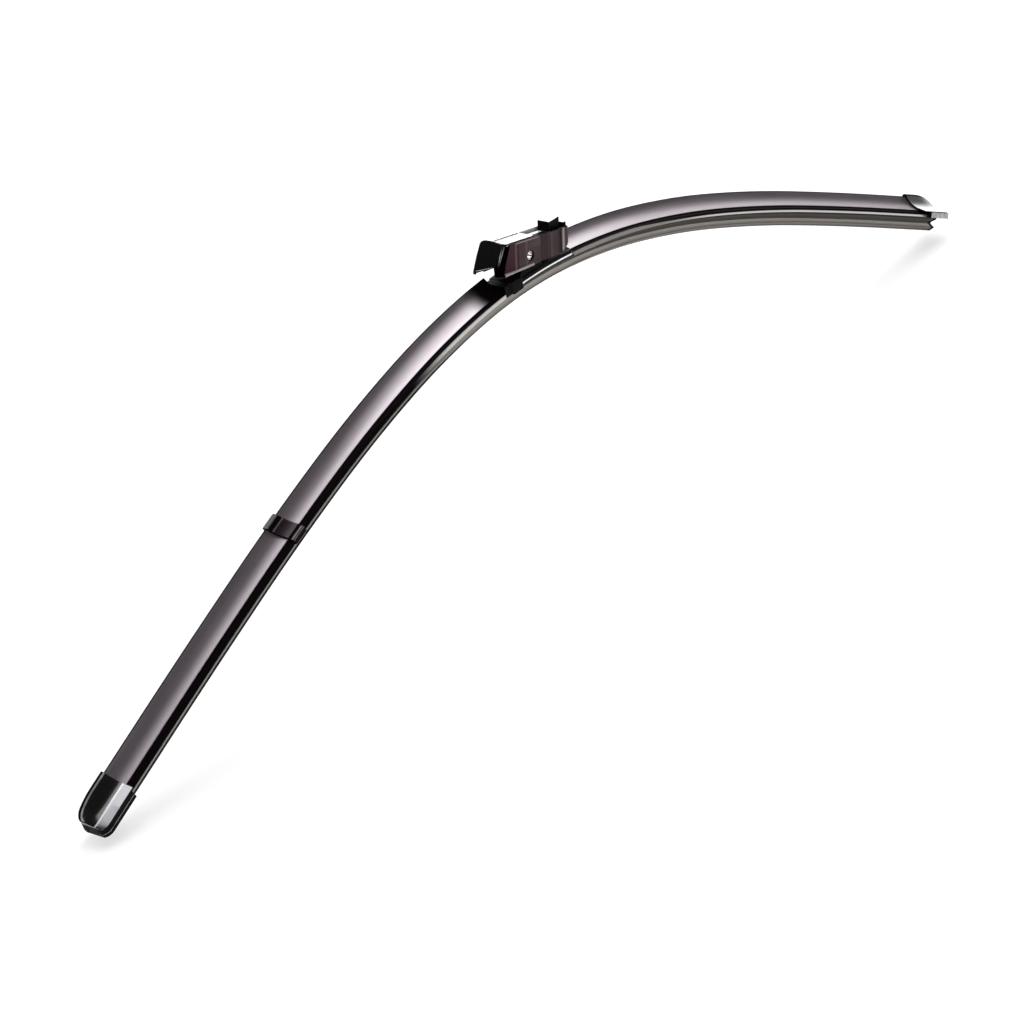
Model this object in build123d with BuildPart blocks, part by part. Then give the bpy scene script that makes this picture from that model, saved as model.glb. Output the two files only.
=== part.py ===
from build123d import *
from math import copysign, cos, radians, sin
import os

# A flat wiper blade with its arm connector. The pivot of the connector is the origin, X runs along the
# blade, Z points away from the glass and the front of the spoiler faces -Y. Sizes are in millimetres.

# Bow of the unloaded blade, measured along the rails from under the pivot
left_reach = 356.0
right_reach = 345.9
bow_middle = -1.0
bow_half = 353.0
bow_angle = 26.05
bow_shares = (0.1, 0.25, 0.42, 0.62, 0.85)
pivot_height = 11.2

# Spring rails
rail_width = 4.3
rail_thickness = 1.0
rail_gap = 2.6
rail_setback = 8.0
slip = 0.05

# Rubber strip
head_half = 2.2
head_rise = 0.9
neck_clearance = 0.1
shoulder_half = 4.0
shoulder_depth = 1.8
waist_half = 0.7
waist_drop = 4.6
waist_flat = 0.4
body_half = 2.9
body_drop = 6.7
lip_half = 0.45
lip_drop = 8.8
rubber_setback = 6.0

# Spoiler section
foot_wall = 0.7
foot_grip = 0.9
foot_floor = 0.55
flange_rise = 0.45
cove_depth = 0.2
edge_half = 4.1
edge_rise = 2.1
edge_lip = 0.5
fin_half = 5.4
fin_rise = 7.8
fin_round = 0.35
face_hollow = 0.8
back_hollow = 0.5
head_room = 0.2
spoiler_setback = 12.0
left_gap = 21.0
right_gap = 30.5

# End caps
cap_length = 25.0
cap_wall = 1.2
left_skirt = 1.5
right_skirt = 7.6
left_drop = 2.6
right_drop = 1.2
cover_rise = 1.9
brim_rise = 2.4
skirt_half = 9.3
skirt_back = 7.9
skirt_top = 1.2
nose_length = 16.0
nose_round = 5.0
cap_mouth_half = 4.6
cap_stop = 0.6

# Strap round the left spoiler
clip_place = -188.5
clip_length = 9.0
clip_wall = 1.1
clip_block_rise = 0.3
clip_block_half = 1.6

# Connector base
base_right = 29.5
base_half = 5.9
base_top = 2.4
claw_start = -16.0
claw_end = -9.0
claw_half = 7.3
claw_top = 4.6
claw_drop = 1.5
claw_grip = 1.0
tower_half = 5.1
boss_radius = 4.7
tower_foot = 9.0
base_gap = 0.5

# Pivot bush
pin_bore = 2.5
bush_bore = 2.6
bush_radius = 3.3
bush_fit = 0.02
running_fit = 0.06
bush_end_play = 0.1

# Adapter, in its own tilted frame at the pivot
adapter_tilt = 11.9
adapter_half = 7.0
adapter_wall = 1.6
adapter_right = 29.0
adapter_top = 8.2
adapter_left_top = -14.6
adapter_left_bottom = -19.6
adapter_bottom_left = -6.3
adapter_bottom_right = -3.7
heel_start = 23.0
heel_height = 0.6
corner_round = 2.4
end_wall_top = 9.9
bush_lip = 0.7
panel_start = 7.3
panel_end = 14.5
panel_depth = 0.6
ramp_end = -11.0
ramp_depth = 0.8
groove_place = 22.3
groove_width = 0.7
ledge_end = 2.0
ledge_height = 1.1
ledge_depth = 0.6
deck_half = 4.1
deck_end = 5.6
deck_thickness = 1.0
crossbar_width = 1.2
arch_top = 0.4

# Release lever
lever_half = 3.2
lever_thickness = 1.2
lever_play = 0.3
axle_radius = 1.2
axle_place = -10.5
axle_reach = 0.7
axle_fit = 0.05
button_half = 3.7
button_start = 17.8
button_length = 7.3
button_rise = 3.6
button_slant = 1.4

# Hood
hood_half = 8.0
hood_wall = 1.5
hood_top = 9.6
hood_crown = 1.1
hood_corner = 1.6
hood_top_place = -19.7
hood_middle_place = -23.4
hood_middle_height = 2.0
hood_bottom_place = -25.3
hood_bottom = -5.3
hood_foot_depth = 3.2
front_leg_foot = 5.8
front_leg_top = 4.5
front_arch_height = -0.7
back_leg_foot = 6.3
back_leg_top = 5.9
back_leg_lift = 1.1
back_arch_height = -3.7
neck_half = 3.0
neck_bottom = 2.4
neck_top = 6.6

rail_top = rail_thickness / 2
rail_outer = rail_gap / 2 + rail_width
foot_inner = rail_outer + slip
foot_half = foot_inner + foot_wall
foot_bottom = rail_top + slip + foot_floor
head_top = rail_top + slip + head_rise
roof = head_top + head_room
left_end = -left_reach
right_end = right_reach

# Bow: arcs whose turn follows (1 - share)^3, the shape that presses evenly once it is flattened
bow_stations = sorted(bow_middle + side * share * bow_half for side in (-1, 1) for share in bow_shares)


def full_slope(s):
    left_over = max(1 - abs(s - bow_middle) / bow_half, 0)
    return -copysign(bow_angle * (1 - left_over**3), s - bow_middle)


def slope(s):
    s = min(max(s, bow_stations[0]), bow_stations[-1])
    for a, b in zip(bow_stations, bow_stations[1:]):
        if a <= s <= b:
            return full_slope(a) + (full_slope(b) - full_slope(a)) * (s - a) / (b - a)


def stops(start, end):
    inner = [s for s in bow_stations if min(start, end) < s < max(start, end)]
    return [start, *(inner if start < end else reversed(inner)), end]


def place(s):
    x, z = 0.0, -pivot_height
    path = stops(0.0, s)
    for a, b in zip(path, path[1:]):
        middle = radians((slope(a) + slope(b)) / 2)
        half_turn = radians((slope(b) - slope(a)) / 2)
        chord = (b - a) * (sin(half_turn) / half_turn if half_turn else 1)
        x += chord * cos(middle)
        z += chord * sin(middle)
    return x, z


def tangent(s):
    return cos(radians(slope(s))), 0, sin(radians(slope(s)))


def normal(s):
    return -sin(radians(slope(s))), 0, cos(radians(slope(s)))


# Sketch planes on the blade: across it, along its side and over it
def cross_plane(s):
    x, z = place(s)
    return Plane((x, 0, z), x_dir=(0, 1, 0), z_dir=tangent(s))


def side_plane(s):
    x, z = place(s)
    return Plane((x, 0, z), x_dir=tangent(s), z_dir=(0, -1, 0))


def plan_plane(s, height):
    x, z = place(s)
    return Plane((x, 0, z), x_dir=tangent(s), z_dir=normal(s)).offset(height)


def bow_line(start, end):
    path = stops(start, end)
    with BuildLine(Plane.XZ) as line:
        for a, b in zip(path, path[1:]):
            if slope(a) == slope(b):
                Line(place(a), place(b))
            else:
                ThreePointArc(place(a), place((a + b) / 2), place(b))
    return line.wire()


# Sketch planes on the adapter, which rests rocked back on its pivot
adapter_along = (cos(radians(adapter_tilt)), 0, -sin(radians(adapter_tilt)))
adapter_up = (sin(radians(adapter_tilt)), 0, cos(radians(adapter_tilt)))
adapter_side = Plane((0, 0, 0), x_dir=adapter_along, z_dir=(0, -1, 0))
adapter_deck = Plane((0, 0, 0), x_dir=adapter_along, z_dir=adapter_up)
adapter_front = Plane((0, 0, 0), x_dir=(0, 1, 0), z_dir=adapter_along)

# Rubber strip: head and shoulder grip the rails, a narrow waist lets the lip tilt
rubber_left = left_end + rubber_setback
rubber_right = right_end - rubber_setback
shoulder_bottom = -rail_top - slip - shoulder_depth
neck_half_width = rail_gap / 2 - neck_clearance
with BuildPart() as wiper_rubber:
    with BuildSketch(cross_plane(rubber_left)):
        with BuildLine():
            Polyline(
                (0, head_top),
                (head_half, head_top),
                (head_half, rail_top + slip),
                (neck_half_width, rail_top + slip),
                (neck_half_width, -rail_top - slip),
                (shoulder_half, -rail_top - slip),
                (shoulder_half, shoulder_bottom),
                (waist_half, waist_flat - waist_drop),
                (waist_half, -waist_flat - waist_drop),
                (body_half, -body_drop),
                (lip_half, -lip_drop),
                (0, -lip_drop),
            )
            mirror(about=Plane.YZ)
        make_face()
    sweep(path=bow_line(rubber_left, rubber_right))

# Rails: two flat strips in the grooves of the rubber
rail_left = left_end + rail_setback
rail_right = right_end - rail_setback


def rail(middle):
    with BuildPart() as strip:
        with BuildSketch(cross_plane(rail_left)):
            with Locations((middle, 0)):
                Rectangle(rail_width, rail_thickness)
        sweep(path=bow_line(rail_left, rail_right))
    return strip


front_rail = rail(-(rail_gap + rail_width) / 2)
rear_rail = rail((rail_gap + rail_width) / 2)


# Spoiler: a hollow-faced fin that leans back, a cove under its front edge and two feet round the rails
def spoiler_outline():
    foot_top = rail_top + slip + flange_rise
    front_foot = (-foot_half, foot_top)
    under_edge = (-edge_half - edge_lip / 2, edge_rise - edge_lip)
    front_edge = (-edge_half, edge_rise)
    fin_front = (fin_half - fin_round, fin_rise)
    fin_back = (fin_half + fin_round, fin_rise)
    back_foot = (foot_half, foot_top)
    with BuildSketch(Plane.XY) as outline:
        with BuildLine():
            Polyline(back_foot, (foot_half, -foot_bottom), (-foot_half, -foot_bottom), front_foot)
            SagittaArc(front_foot, under_edge, -cove_depth)
            Line(under_edge, front_edge)
            SagittaArc(front_edge, fin_front, -face_hollow)
            SagittaArc(fin_front, fin_back, fin_round)
            SagittaArc(fin_back, back_foot, -back_hollow)
        make_face()
    return outline.sketch


def spoiler(start, end):
    with BuildPart() as fin:
        with BuildSketch(cross_plane(start)):
            add(spoiler_outline())
            Rectangle(2 * foot_inner, 2 * (rail_top + slip), mode=Mode.SUBTRACT)
            Rectangle(2 * (head_half + head_room), 2 * roof, mode=Mode.SUBTRACT)
            with Locations((0, -foot_bottom)):
                Rectangle(2 * (foot_inner - foot_grip), 2 * foot_bottom, mode=Mode.SUBTRACT)
        sweep(path=bow_line(start, end))
    return fin


left_spoiler = spoiler(left_end + spoiler_setback, -left_gap)
right_spoiler = spoiler(right_gap, right_end - spoiler_setback)


# End cap: a shell that follows the spoiler's section, with a rounded nose, a brim and a skirt round the rails
def end_cap(tip, outward, skirt_start, skirt_drop):
    mouth = tip - outward * cap_length
    shell = slip + cap_wall
    crest = fin_rise + fin_round + shell
    skirt_begin = outward * skirt_start
    nose_begin = outward * (cap_length - nose_length)
    nose_end = outward * cap_length
    with BuildPart() as cap:
        with BuildSketch(cross_plane(mouth)):
            add(spoiler_outline())
            offset(amount=shell)
            with BuildLine():
                Polyline(
                    (-skirt_half, -skirt_drop),
                    (-skirt_half, brim_rise),
                    (-edge_half - shell / 2, edge_rise + 0.8 * shell),
                    (foot_half, edge_rise + shell),
                    (skirt_back, brim_rise),
                    (skirt_back, -skirt_drop),
                    close=True,
                )
            make_face()
        extrude(amount=nose_end)
        with BuildSketch(side_plane(mouth)):
            with BuildLine():
                Polyline(
                    (nose_begin, crest),
                    (0, crest),
                    (0, -skirt_drop),
                    (nose_end, -skirt_drop),
                    (nose_end, skirt_top),
                )
                EllipticalCenterArc(
                    (nose_begin, skirt_top),
                    nose_length,
                    crest - skirt_top,
                    start_angle=0 if outward > 0 else 90,
                    arc_size=90,
                )
            make_face()
        extrude(amount=2 * skirt_half, both=True, mode=Mode.INTERSECT)
        with BuildSketch(side_plane(mouth)):
            with Locations((skirt_begin / 2, cover_rise - skirt_half)):
                Rectangle(skirt_start, 2 * skirt_half)
        extrude(amount=2 * skirt_half, both=True, mode=Mode.SUBTRACT)
        with BuildSketch(plan_plane(mouth, -skirt_drop)):
            with BuildLine():
                FilletPolyline(
                    (0, -skirt_half),
                    (nose_end, -skirt_half),
                    (nose_end, skirt_back),
                    (0, skirt_back),
                    radius=nose_round,
                )
                Line((0, skirt_back), (0, -skirt_half))
            make_face()
        extrude(amount=skirt_drop + crest, mode=Mode.INTERSECT)
        with BuildSketch(cross_plane(mouth)):
            add(spoiler_outline())
            offset(amount=slip)
        extrude(amount=outward * (cap_length - spoiler_setback + cap_stop), mode=Mode.SUBTRACT)
        with BuildSketch(cross_plane(mouth)):
            with Locations((0, -skirt_drop)):
                Rectangle(2 * cap_mouth_half, 2 * (skirt_drop + roof))
        extrude(amount=outward * (cap_length - rubber_setback + cap_stop), mode=Mode.SUBTRACT)
        with BuildSketch(cross_plane(mouth)):
            Rectangle(2 * foot_inner, 2 * (rail_top + slip))
        extrude(amount=outward * (cap_length - rail_setback + cap_stop), mode=Mode.SUBTRACT)
    return cap


left_end_cap = end_cap(left_end, -1, left_skirt, left_drop)
right_end_cap = end_cap(right_end, 1, right_skirt, right_drop)

# Strap: wraps the spoiler from foot to foot, with a block over the fin
with BuildSketch(Plane.XY) as strap_inside:
    add(spoiler_outline())
    offset(amount=slip)
clip_start = clip_place - clip_length / 2
with BuildPart() as spoiler_clip:
    with BuildSketch(cross_plane(clip_start)):
        add(spoiler_outline())
        offset(amount=slip + clip_wall)
        with Locations((fin_half, fin_rise)):
            Rectangle(2 * clip_block_half, 2 * (fin_round + clip_wall + clip_block_rise))
        add(strap_inside.sketch, mode=Mode.SUBTRACT)
        with Locations((0, -foot_bottom - slip)):
            Rectangle(2 * (foot_inner - foot_grip), 2 * (foot_bottom + clip_wall), mode=Mode.SUBTRACT)
    sweep(path=bow_line(clip_start, clip_start + clip_length))

# Connector base: a saddle on the rails with claws on its left and the pivot tower
base_left = -left_gap + base_gap
with BuildPart() as connector_base:
    with BuildSketch(cross_plane(base_left)):
        with Locations((0, (rail_top + slip + base_top) / 2)):
            Rectangle(2 * base_half, base_top - rail_top - slip)
        Rectangle(2 * (head_half + head_room), 2 * roof, mode=Mode.SUBTRACT)
    sweep(path=bow_line(base_left, base_right))
    for half, drop, start, end in (
        (foot_half, foot_bottom, base_left, claw_start),
        (claw_half, claw_drop, claw_start, claw_end),
    ):
        with BuildSketch(cross_plane(start)):
            with Locations((0, (claw_top - drop) / 2)):
                Rectangle(2 * half, claw_top + drop)
            Rectangle(2 * foot_inner, 2 * (rail_top + slip), mode=Mode.SUBTRACT)
            Rectangle(2 * (head_half + head_room), 2 * roof, mode=Mode.SUBTRACT)
            with Locations((0, -drop)):
                Rectangle(2 * (foot_inner - claw_grip), 2 * (drop - rail_top), mode=Mode.SUBTRACT)
        sweep(path=bow_line(start, end))
    with BuildSketch(Plane.XZ):
        tower_bottom = base_top - pivot_height
        with BuildLine():
            Polyline(
                (boss_radius, 0),
                (boss_radius, tower_bottom / 2),
                (tower_foot, tower_bottom),
                (tower_foot, tower_bottom - rail_top),
                (-tower_foot, tower_bottom - rail_top),
                (-tower_foot, tower_bottom),
                (-boss_radius, tower_bottom / 2),
                (-boss_radius, 0),
            )
            ThreePointArc((-boss_radius, 0), (0, boss_radius), (boss_radius, 0))
        make_face()
    extrude(amount=tower_half, both=True)
    with BuildSketch(Plane.XZ):
        Circle(bush_radius + bush_fit)
    extrude(amount=tower_half, both=True, mode=Mode.SUBTRACT)

# Pivot bush: a hollow sleeve, wide enough for a side pin
bush_half = adapter_half - bush_lip - bush_end_play
with BuildPart() as pivot_bush:
    with BuildSketch(Plane.XZ):
        Circle(bush_radius)
        Circle(bush_bore, mode=Mode.SUBTRACT)
    extrude(amount=bush_half, both=True)

# Adapter: an open channel that the arm slides over, with a leaning left end
inner_half = adapter_half - adapter_wall
lever_top = adapter_top - deck_thickness - lever_play
axle_height = lever_top - lever_thickness / 2
left_lean = (adapter_left_top - adapter_left_bottom) / (adapter_top - adapter_bottom_left)
bottom_rise = (adapter_bottom_right - adapter_bottom_left) / (heel_start - adapter_left_bottom)
cut_left = adapter_left_bottom - adapter_wall
cut_low = adapter_bottom_left - adapter_wall
cut_high = end_wall_top + adapter_wall


def left_edge(height):
    return adapter_left_bottom + left_lean * (height - adapter_bottom_left)


def bottom_edge(distance):
    return adapter_bottom_left + bottom_rise * (distance - adapter_left_bottom)


deck_start = left_edge(adapter_top) + adapter_wall / 2
with BuildPart() as adapter:
    with BuildSketch(adapter_side):
        with BuildLine():
            Polyline(
                (adapter_left_bottom, adapter_bottom_left),
                (heel_start, adapter_bottom_right),
                (adapter_right, heel_height),
                (adapter_right, adapter_top),
                (adapter_left_top, adapter_top),
                close=True,
            )
        make_face()
    extrude(amount=adapter_half, both=True)
    fillet(adapter.edges().filter_by(Axis((0, 0, 0), adapter_up)), radius=corner_round)
    with BuildSketch(adapter_deck.offset(cut_low)):
        with BuildLine():
            Polyline(
                (ramp_end, adapter_half),
                (cut_left, adapter_half),
                (cut_left, adapter_half - ramp_depth),
                close=True,
            )
        make_face()
        mirror(about=Plane.XZ)
    extrude(amount=cut_high - cut_low, mode=Mode.SUBTRACT)
    with BuildSketch(adapter_side):
        with BuildLine():
            Polyline(
                (adapter_left_bottom, adapter_bottom_left),
                (ledge_end, bottom_edge(ledge_end)),
                (ledge_end, bottom_edge(ledge_end) + ledge_height),
                (left_edge(adapter_bottom_left + ledge_height), adapter_bottom_left + ledge_height),
                close=True,
            )
        make_face()
    extrude(amount=adapter_half + ledge_depth, both=True)
    for side in (-1, 1):
        with BuildSketch(adapter_side.offset(side * (adapter_half - panel_depth))):
            with Locations(((panel_start + panel_end) / 2, 0)):
                Rectangle(panel_end - panel_start, 2 * cut_high)
            with Locations((groove_place, 0)):
                Rectangle(groove_width, 2 * cut_high)
        extrude(amount=side * panel_depth, mode=Mode.SUBTRACT)
    with BuildSketch(adapter_side):
        with BuildLine():
            Polyline(
                (left_edge(cut_low) + adapter_wall, cut_low),
                (adapter_right - adapter_wall, cut_low),
                (adapter_right - adapter_wall, cut_high),
                (left_edge(cut_high) + adapter_wall, cut_high),
                close=True,
            )
        make_face()
        with BuildLine():
            Polyline(
                (cut_left, cut_low),
                (left_edge(arch_top) + 2 * adapter_wall, cut_low),
                (left_edge(arch_top) + 2 * adapter_wall, arch_top),
                (cut_left, arch_top),
                close=True,
            )
        make_face()
    extrude(amount=inner_half, both=True, mode=Mode.SUBTRACT)
    with BuildSketch(adapter_deck.offset(adapter_top - deck_thickness)):
        with Locations(((deck_start + deck_end) / 2, 0)):
            Rectangle(deck_end - deck_start, 2 * deck_half)
        with Locations((deck_end - crossbar_width / 2, 0)):
            Rectangle(crossbar_width, 2 * inner_half)
    extrude(amount=deck_thickness)
    with BuildSketch(adapter_side):
        with Locations((adapter_right - adapter_wall / 2, (adapter_top + end_wall_top) / 2)):
            Rectangle(adapter_wall, end_wall_top - adapter_top)
    extrude(amount=adapter_half - corner_round, both=True)
    with BuildSketch(adapter_side):
        Circle(pin_bore)
    extrude(amount=adapter_half, both=True, mode=Mode.SUBTRACT)
    with BuildSketch(adapter_side):
        Circle(bush_radius + running_fit)
    extrude(amount=adapter_half - bush_lip, both=True, mode=Mode.SUBTRACT)
    with BuildSketch(adapter_side):
        with Locations((axle_place, axle_height)):
            Circle(axle_radius + axle_fit)
    extrude(amount=inner_half + axle_reach + axle_fit, both=True, mode=Mode.SUBTRACT)

# Release lever: a tongue on a cross axle, with the press button at its free end
button_end = button_start + button_length
button_top = adapter_top + button_rise
with BuildPart() as release_lever:
    with BuildSketch(adapter_side):
        with Locations(((axle_place + button_end) / 2, axle_height)):
            Rectangle(button_end - axle_place, lever_thickness)
    extrude(amount=lever_half, both=True)
    with BuildSketch(adapter_side):
        with Locations((axle_place, axle_height)):
            Circle(axle_radius)
    extrude(amount=inner_half + axle_reach, both=True)
    with BuildSketch(adapter_side):
        with BuildLine():
            Polyline(
                (button_start, lever_top - lever_thickness),
                (button_end, lever_top - lever_thickness),
                (button_end, button_top + button_slant),
                (button_start, button_top),
                close=True,
            )
        make_face()
    extrude(amount=button_half, both=True)

# Hood: a leaning shield, arched over the blade, with a neck to the adapter's left end
hood_peak = hood_top + hood_crown
with BuildPart() as adapter_hood:
    with BuildSketch(adapter_side):
        with BuildLine():
            ThreePointArc(
                (hood_top_place, hood_peak),
                (hood_middle_place, hood_middle_height),
                (hood_bottom_place, hood_bottom),
            )
            Polyline(
                (hood_bottom_place, hood_bottom),
                (hood_bottom_place + hood_foot_depth, hood_bottom),
                (hood_top_place + hood_wall, hood_peak),
                (hood_top_place, hood_peak),
            )
        make_face()
    extrude(amount=hood_half, both=True)
    with BuildSketch(adapter_side):
        with BuildLine():
            ThreePointArc(
                (hood_top_place + hood_wall, hood_peak),
                (hood_middle_place + hood_wall, hood_middle_height),
                (hood_bottom_place + hood_wall, hood_bottom),
            )
            Polyline(
                (hood_bottom_place + hood_wall, hood_bottom),
                (adapter_left_top, hood_bottom),
                (adapter_left_top, hood_peak),
                (hood_top_place + hood_wall, hood_peak),
            )
        make_face()
    extrude(amount=hood_half - hood_wall, both=True, mode=Mode.SUBTRACT)
    with BuildSketch(adapter_side):
        with BuildLine():
            Polyline(
                (hood_middle_place + hood_wall / 2, neck_bottom),
                (left_edge(neck_bottom), neck_bottom),
                (left_edge(neck_top), neck_top),
                (hood_top_place, neck_top),
                close=True,
            )
        make_face()
    extrude(amount=neck_half, both=True)
    with BuildSketch(adapter_front.offset(hood_bottom_place)):
        with BuildLine():
            Polyline(
                (-hood_half, hood_top),
                (-hood_half, hood_bottom),
                (-front_leg_foot, hood_bottom),
                (-front_leg_top, front_arch_height),
                (back_leg_top, back_arch_height),
                (back_leg_foot, hood_bottom),
                (hood_half, hood_bottom + back_leg_lift),
                (hood_half, hood_top),
            )
            ThreePointArc((hood_half, hood_top), (0, hood_peak), (-hood_half, hood_top))
        make_face()
        fillet(vertices().group_by(Axis.Y)[-1], radius=hood_corner)
    extrude(amount=adapter_left_top - hood_bottom_place, mode=Mode.INTERSECT)

pieces = {
    "wiper_rubber": wiper_rubber,
    "front_rail": front_rail,
    "rear_rail": rear_rail,
    "left_spoiler": left_spoiler,
    "right_spoiler": right_spoiler,
    "left_end_cap": left_end_cap,
    "right_end_cap": right_end_cap,
    "spoiler_clip": spoiler_clip,
    "connector_base": connector_base,
    "pivot_bush": pivot_bush,
    "adapter": adapter,
    "adapter_hood": adapter_hood,
    "release_lever": release_lever,
}
os.makedirs("parts", exist_ok=True)
for name, piece in pieces.items():
    piece.part.label = name
    export_step(piece.part, f"parts/{name}.step")
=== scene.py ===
import math

import bmesh
import bpy
from mathutils import Matrix, Vector


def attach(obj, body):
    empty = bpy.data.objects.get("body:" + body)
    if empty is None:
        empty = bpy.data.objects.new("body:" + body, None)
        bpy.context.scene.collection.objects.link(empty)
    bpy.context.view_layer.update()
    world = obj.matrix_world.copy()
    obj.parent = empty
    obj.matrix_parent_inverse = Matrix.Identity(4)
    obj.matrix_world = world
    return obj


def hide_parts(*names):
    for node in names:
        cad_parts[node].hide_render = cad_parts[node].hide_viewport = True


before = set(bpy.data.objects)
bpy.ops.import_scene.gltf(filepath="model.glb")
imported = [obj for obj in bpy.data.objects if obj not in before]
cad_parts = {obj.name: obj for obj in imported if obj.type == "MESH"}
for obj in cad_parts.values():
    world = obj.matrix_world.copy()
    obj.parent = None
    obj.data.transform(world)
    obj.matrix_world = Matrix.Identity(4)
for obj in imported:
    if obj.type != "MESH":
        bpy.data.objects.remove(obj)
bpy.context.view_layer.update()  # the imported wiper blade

scene = bpy.context.scene
mm = 0.001
perMetre = 1000.0  # millimetres in a metre
black = (0.0, 0.0, 0.0, 1.0)
white = (1.0, 1.0, 1.0, 1.0)

# the adapter leans on its pivot, so it has directions of its own
lean = math.radians(11.9)
adapterAlong = Vector((math.cos(lean), 0, -math.sin(lean)))
adapterUp = Vector((math.sin(lean), 0, math.cos(lean)))

# camera where the photograph was taken from
viewing = {
    "place": (-1.3540, -1.2821, 0.8210),
    "right": (0.62552, -0.76277, -0.16398),
    "up": (0.44957, 0.18061, 0.87478),
    "back": (-0.63765, -0.62092, 0.45590),
    "lens": 151.47,
    "sensor": 36.0,
    "farthest": 60.0,
}
camera = bpy.data.objects.new("photoCamera", bpy.data.cameras.new("photoCamera"))
camera.data.lens = viewing["lens"]
camera.data.sensor_width = viewing["sensor"]
camera.data.clip_end = viewing["farthest"]
turned = Matrix((viewing["right"], viewing["up"], viewing["back"])).transposed()
camera.matrix_world = Matrix.Translation(viewing["place"]) @ turned.to_4x4()
scene.collection.objects.link(camera)
scene.camera = camera
scene.view_settings.view_transform = "Standard"
print("camera set")


# one socket in a material's node tree, so that shader maths reads as plain sums
class Wire:
    def __init__(self, tree, socket=None):
        self.tree = tree
        self.socket = socket

    # any node: its settings first, then the values or links of its sockets
    def add(self, kind, settings=None, sockets=None, output=0):
        node = self.tree.nodes.new(kind)
        for key, value in (settings or {}).items():
            setattr(node, key, value)
        for key, value in (sockets or {}).items():
            self.feed(node.inputs[key], value)
        return Wire(self.tree, node.outputs[output])

    def feed(self, socket, value):
        if isinstance(value, Wire):
            self.tree.links.new(value.socket, socket)
        else:
            socket.default_value = value

    def sum(self, operation, first, second):
        return self.add("ShaderNodeMath", {"operation": operation}, {0: first, 1: second})

    def __add__(self, other):
        return self.sum("ADD", self, other)

    __radd__ = __add__

    def __sub__(self, other):
        return self.sum("SUBTRACT", self, other)

    def __rsub__(self, other):
        return self.sum("SUBTRACT", other, self)

    def __mul__(self, other):
        return self.sum("MULTIPLY", self, other)

    __rmul__ = __mul__

    # smooth step of this value between two levels
    def rise(self, low, high):
        sockets = {"Value": self, "From Min": low, "From Max": high}
        return self.add("ShaderNodeMapRange", {"interpolation_type": "SMOOTHSTEP"}, sockets)

    # a sum of masks, brought back to 0 to 1
    def held(self):
        return self.rise(0.0, 1.0)

    # this value and another, by this one's share
    def shared(self, other, share):
        return self * share + other * (1 - share)

    # colour mix with this value as its factor
    def between(self, dark, light):
        return self.add("ShaderNodeMix", {"data_type": "RGBA"}, {0: self, 6: dark, 7: light}, 2)

    def noise(self, scale, detail=3.0, roughness=0.55):
        sockets = {"Vector": self, "Scale": scale, "Detail": detail, "Roughness": roughness}
        return self.add("ShaderNodeTexNoise", {}, sockets)

    # noise that is drawn out along one axis and packed along the others
    def drawn(self, scale, detail=4.0, roughness=0.6):
        sockets = {"Vector": self, "Scale": scale}
        return self.add("ShaderNodeMapping", {"vector_type": "POINT"}, sockets).noise(1.0, detail, roughness)

    def part(self, axis):
        return self.add("ShaderNodeSeparateXYZ", {}, {"Vector": self}, axis)


class Finish:
    def __init__(self, name, fixed):
        self.material = bpy.data.materials.new(name)
        self.material.use_nodes = True
        self.tree = self.material.node_tree
        self.shader = self.tree.nodes["Principled BSDF"]
        for key, value in fixed.items():
            self.shader.inputs[key].default_value = value
        self.start = Wire(self.tree)

    def here(self):
        return self.start.add("ShaderNodeTexCoord", {}, {}, "Object")

    # place on the blade in millimetres: along the bow, across it, and above the rails
    def along(self):
        return self.start.add("ShaderNodeAttribute", {"attribute_name": "section"}, {}, "Vector")

    def give(self, **wires):
        for key, wire in wires.items():
            self.start.feed(self.shader.inputs[key.replace("_", " ")], wire)

    def emboss(self, height, depth, strength):
        bump = {"Height": height, "Distance": depth, "Strength": strength}
        self.give(Normal=self.start.add("ShaderNodeBump", {}, bump))

    # painted shade: a dull dark diffuse laid over the finish where the factor is 1
    def shade(self, factor, colour):
        plain = Wire(self.tree, self.shader.outputs[0])
        dull = self.start.add("ShaderNodeBsdfDiffuse", {}, {"Color": colour})
        mixed = self.start.add("ShaderNodeMixShader", {}, {0: factor, 1: plain, 2: dull})
        self.start.feed(self.tree.nodes["Material Output"].inputs["Surface"], mixed)


# the shader values that are the same all over a finish
def glossOf(look):
    return {
        "IOR": look["ior"],
        "Specular IOR Level": look["shine"],
        "Specular Tint": look.get("tint", white),
    }


# millimetres along the leaning adapter, and up from its pivot
def alongAdapter(place):
    return (place.part(0) * math.cos(lean) - place.part(2) * math.sin(lean)) * perMetre


def upAdapter(place):
    return (place.part(0) * math.sin(lean) + place.part(2) * math.cos(lean)) * perMetre


# painted highlights and shade: upright bands on the adapter, each with two flanks along it and a colour, and
# a painted highlight along the rim above them
def paintedBandsAlong(place, body, shadeAndHighlightBands, rimHighlight):
    along = alongAdapter(place)
    for rising, falling, colour in shadeAndHighlightBands:
        body = (along.rise(*rising) * (1 - along.rise(*falling))).between(body, colour)
    high = upAdapter(place).rise(*rimHighlight["height"])
    rimLit = high * along.rise(*rimHighlight["rising"]) * (1 - along.rise(*rimHighlight["falling"]))
    return rimLit.between(body, rimHighlight["colour"])


# painted highlight: paler towards the front of the blade and towards its tip
def paintedSheenFront(flow, body, sheen):
    front = 1 - flow.part(1).rise(*sheen["across"])
    lit = front + flow.part(0).rise(*sheen["reach"]) * sheen["tipShare"]
    return lit.held().between(body, sheen["colour"])


# painted shade: mask of the near side, and of the low stretch of the corner beside it
def nearSideShade(place, nearShade):
    high = upAdapter(place).rise(*nearShade["height"])
    across = place.part(1) * perMetre
    low = (1 - high) * (1 - across.rise(*nearShade["corner"]))
    side = 1 - across.rise(*nearShade["side"])
    return (low + side).held()


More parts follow.
